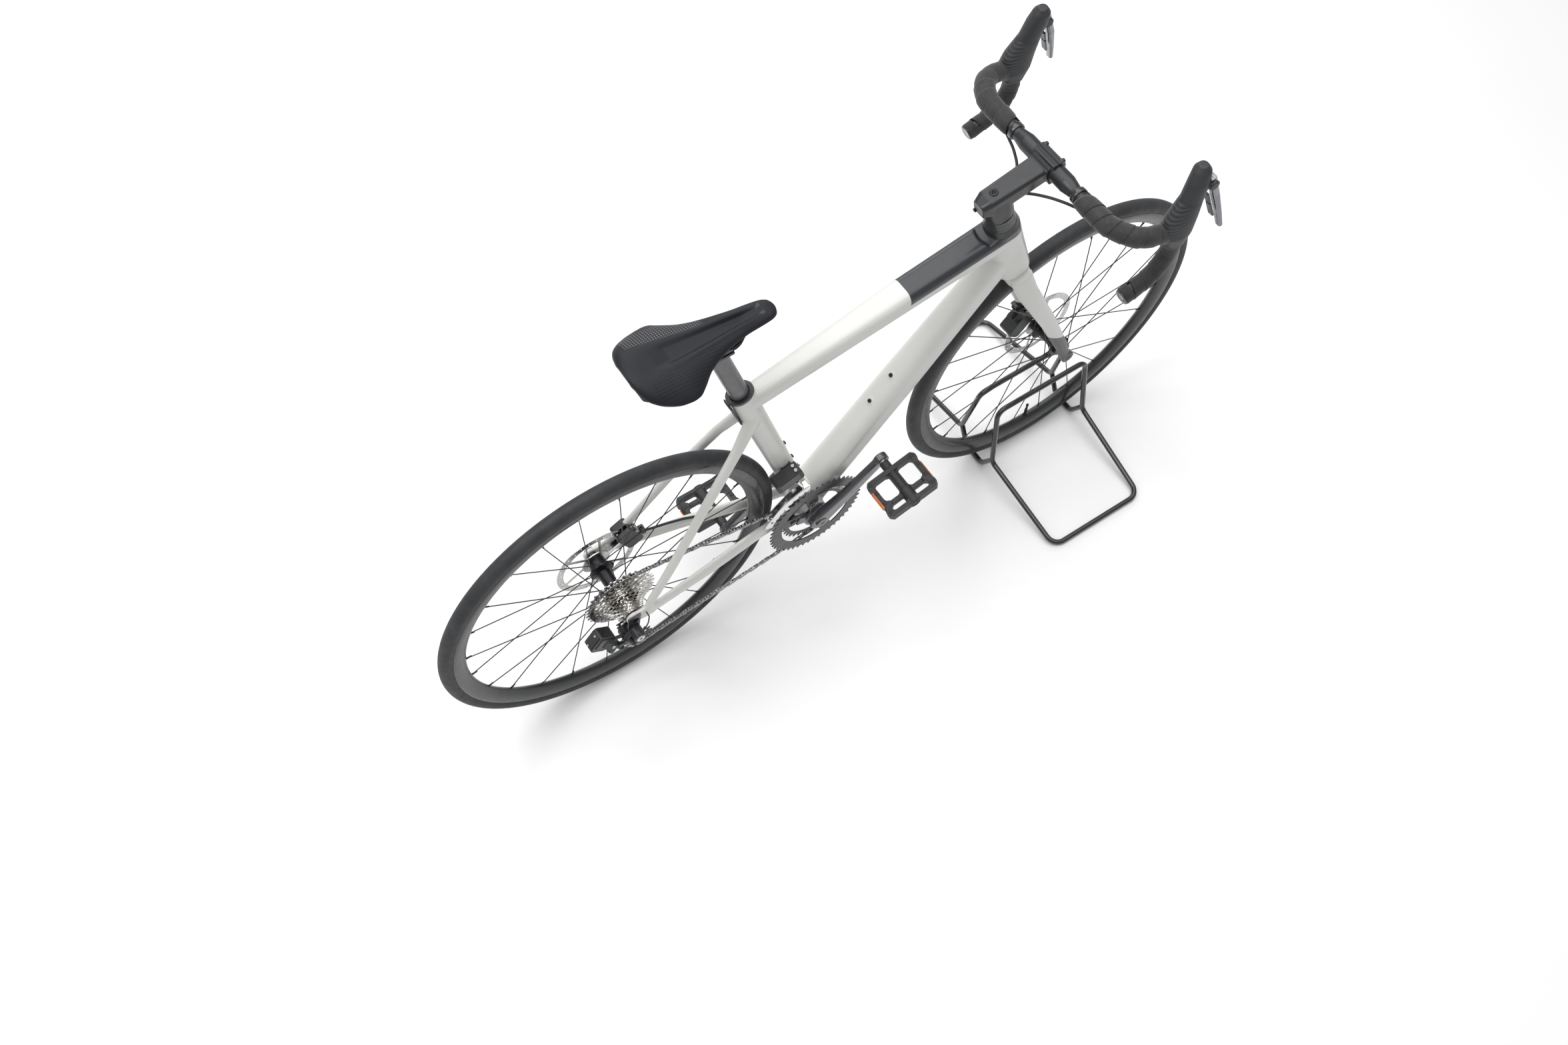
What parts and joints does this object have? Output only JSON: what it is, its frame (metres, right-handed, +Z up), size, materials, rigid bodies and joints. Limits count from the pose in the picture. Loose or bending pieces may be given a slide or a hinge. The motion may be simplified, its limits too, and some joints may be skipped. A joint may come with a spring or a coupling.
{
  "type": "bicycle on stand",
  "caption": "Road bicycle with drop bar, disc brakes and platform pedals, held upright by a bent-wire stand round its front wheel.",
  "frame": {"origin": "on the floor midway between the wheel axles", "axes": "+X forward, +Y to the rider's left, +Z up"},
  "size_m": [1.668, 0.545, 1.022],
  "materials": {
    "frame_paint": "satin white lacquer with a black top panel",
    "black_moulding": "satin black",
    "black_alloy": "black anodised",
    "grey_alloy": "machined silver",
    "bar_alloy": "satin black anodised",
    "tape": "black wrapped tape",
    "hood_rubber": "ribbed black rubber",
    "lever_blade": "grey anodised",
    "rim_lacquer": "satin black",
    "tyre": "matt black rubber",
    "spoke_steel": "blackened steel",
    "rotor_steel": "ground steel",
    "sprocket_steel": "plated steel",
    "chain_steel": "plated steel",
    "crank_black": "gloss black",
    "bearing_steel": "ground steel",
    "hose": "black sheath",
    "cover": "black synthetic cover over foam",
    "rail_metal": "blackened wire",
    "pedal_plastic": "black",
    "stand_steel": "black powder coat",
    "pulley_plastic": "black"
  },
  "bodies": {
    "stand": {"stand_hoop_right": "stand_steel", "stand_hoop_left": "stand_steel", "stand_crossbars": "stand_steel"},
    "fork": {"fork": "frame_paint", "headset": "black_alloy", "stem": "black_alloy", "stem_faceplate": "black_alloy", "handlebar": "bar_alloy", "bar_tape_right": "tape", "bar_tape_left": "tape", "hood_right": "hood_rubber", "hood_left": "hood_rubber", "cockpit_hoses": "hose", "front_caliper": "black_alloy", "front_thru_axle": "black_alloy"},
    "front_wheel": {"front_rim": "rim_lacquer", "front_tyre": "tyre", "front_hub": "black_alloy", "front_spokes": "spoke_steel", "front_rotor": "rotor_steel"},
    "brake_lever_right": {"brake_lever_right": "lever_blade"},
    "brake_lever_left": {"brake_lever_left": "lever_blade"},
    "upper_paddle_right": {"upper_paddle_right": "black_moulding"},
    "lower_paddle_right": {"lower_paddle_right": "black_moulding"},
    "upper_paddle_left": {"upper_paddle_left": "black_moulding"},
    "lower_paddle_left": {"lower_paddle_left": "black_moulding"},
    "frame": {"frame": "frame_paint", "bottom_bracket_bearings": "bearing_steel", "seat_clamp": "black_alloy", "derailleur_hanger": "black_alloy", "rear_caliper": "black_alloy", "rear_brake_hose": "hose", "derailleur_wire": "hose", "rear_thru_axle": "black_alloy", "front_derailleur": "black_moulding", "derailleur_body": "black_moulding", "chain": "chain_steel"},
    "front_derailleur_cage": {"front_derailleur_cage": "grey_alloy"},
    "seatpost": {"seatpost": "black_moulding", "saddle_clamp": "black_alloy", "saddle_rails": "rail_metal", "saddle_base": "black_moulding", "saddle_pad": "cover"},
    "rear_wheel": {"rear_rim": "rim_lacquer", "rear_tyre": "tyre", "rear_hub": "black_alloy", "rear_spokes": "spoke_steel", "rear_rotor": "rotor_steel"},
    "cassette": {"cassette": "sprocket_steel"},
    "crank": {"crank_arm_right": "crank_black", "crank_arm_left": "crank_black", "chainrings": "crank_black", "pedal_spindles": "bearing_steel"},
    "pedal_right": {"pedal_right": "pedal_plastic"},
    "pedal_left": {"pedal_left": "pedal_plastic"},
    "derailleur_link": {"derailleur_link": "black_moulding"},
    "derailleur_knuckle": {"derailleur_knuckle": "black_moulding"},
    "derailleur_cage": {"derailleur_cage": "black_alloy"},
    "guide_pulley": {"guide_pulley": "pulley_plastic"},
    "tension_pulley": {"tension_pulley": "pulley_plastic"}
  },
  "joints": [
    {"name": "stand_lift", "type": "slide", "parent": "stand", "child": "fork", "axis": [0, 0, 1], "range_m": [0, 0.35]},
    {"name": "steering", "type": "hinge", "parent": "fork", "child": "frame", "pos_m": [0.3367, 0, 0.67343], "axis": [-0.3173, 0, 0.9483], "range_deg": [-60, 60]},
    {"name": "front_wheel_spin", "type": "hinge", "parent": "fork", "child": "front_wheel", "pos_m": [0.495, 0, 0.339], "axis": [0, 1, 0], "continuous": true},
    {"name": "rear_wheel_spin", "type": "hinge", "parent": "frame", "child": "rear_wheel", "pos_m": [-0.495, 0, 0.339], "axis": [0, 1, 0], "continuous": true},
    {"name": "crank_spin", "type": "hinge", "parent": "frame", "child": "crank", "pos_m": [-0.08629, 0, 0.267], "axis": [0, 1, 0], "continuous": true, "deforming": ["chain"]},
    {"name": "cassette_spin", "type": "hinge", "parent": "frame", "child": "cassette", "pos_m": [-0.495, 0, 0.339], "axis": [0, 1, 0], "continuous": true},
    {"name": "pedal_right_spin", "type": "hinge", "parent": "crank", "child": "pedal_right", "pos_m": [0.03568, -0.13, 0.38898], "axis": [0, 1, 0], "continuous": true},
    {"name": "pedal_left_spin", "type": "hinge", "parent": "crank", "child": "pedal_left", "pos_m": [-0.20827, 0.13, 0.14502], "axis": [0, 1, 0], "continuous": true},
    {"name": "seatpost_height", "type": "slide", "parent": "frame", "child": "seatpost", "axis": [-0.284, 0, 0.9588], "range_m": [0, 0.04]},
    {"name": "front_derailleur_shift", "type": "slide", "parent": "frame", "child": "front_derailleur_cage", "axis": [0, -1, 0], "range_m": [0, 0.007]},
    {"name": "derailleur_shift", "type": "hinge", "parent": "frame", "child": "derailleur_link", "pos_m": [-0.515, -0.092, 0.297], "axis": [-0.5723, 0.4997, 0.6503], "range_deg": [-3, 60]},
    {"name": "derailleur_level", "type": "hinge", "parent": "derailleur_link", "child": "derailleur_knuckle", "pos_m": [-0.53386, -0.07603, 0.26813], "axis": [-0.5723, 0.4997, 0.6503], "range_deg": [-60, 3]},
    {"name": "derailleur_cage_swing", "type": "hinge", "parent": "derailleur_knuckle", "child": "derailleur_cage", "pos_m": [-0.501, -0.045, 0.229], "axis": [0, 1, 0], "range_deg": [-10, 50], "stiffness_Nm_per_rad": 0.5},
    {"name": "guide_pulley_spin", "type": "hinge", "parent": "derailleur_cage", "child": "guide_pulley", "pos_m": [-0.489, -0.031, 0.237], "axis": [0, 1, 0], "continuous": true},
    {"name": "tension_pulley_spin", "type": "hinge", "parent": "derailleur_cage", "child": "tension_pulley", "pos_m": [-0.47161, -0.031, 0.14768], "axis": [0, 1, 0], "continuous": true},
    {"name": "brake_pull_right", "type": "hinge", "parent": "fork", "child": "brake_lever_right", "pos_m": [0.507, -0.204, 0.984], "axis": [0, 1, 0], "range_deg": [0, 18], "stiffness_Nm_per_rad": 0.4},
    {"name": "upper_click_right", "type": "hinge", "parent": "brake_lever_right", "child": "upper_paddle_right", "pos_m": [0.51006, -0.20461, 0.95174], "axis": [0, 1, 0], "range_deg": [-4, 0], "stiffness_Nm_per_rad": 0.05},
    {"name": "lower_click_right", "type": "hinge", "parent": "brake_lever_right", "child": "lower_paddle_right", "pos_m": [0.52002, -0.20827, 0.92692], "axis": [0, 1, 0], "range_deg": [-4, 0], "stiffness_Nm_per_rad": 0.05},
    {"name": "brake_pull_left", "type": "hinge", "parent": "fork", "child": "brake_lever_left", "pos_m": [0.507, 0.204, 0.984], "axis": [0, 1, 0], "range_deg": [0, 18], "stiffness_Nm_per_rad": 0.4},
    {"name": "upper_click_left", "type": "hinge", "parent": "brake_lever_left", "child": "upper_paddle_left", "pos_m": [0.51006, 0.20461, 0.95174], "axis": [0, 1, 0], "range_deg": [-4, 0], "stiffness_Nm_per_rad": 0.05},
    {"name": "lower_click_left", "type": "hinge", "parent": "brake_lever_left", "child": "lower_paddle_left", "pos_m": [0.52002, 0.20827, 0.92692], "axis": [0, 1, 0], "range_deg": [-4, 0], "stiffness_Nm_per_rad": 0.05}
  ],
  "couplings": [
    {"joint": "cassette_spin", "follows": "crank_spin", "ratio": 1.1333},
    {"joint": "guide_pulley_spin", "follows": "crank_spin", "ratio": -3.0909},
    {"joint": "tension_pulley_spin", "follows": "crank_spin", "ratio": 2.6154},
    {"joint": "derailleur_level", "follows": "derailleur_shift", "ratio": -1}
  ]
}
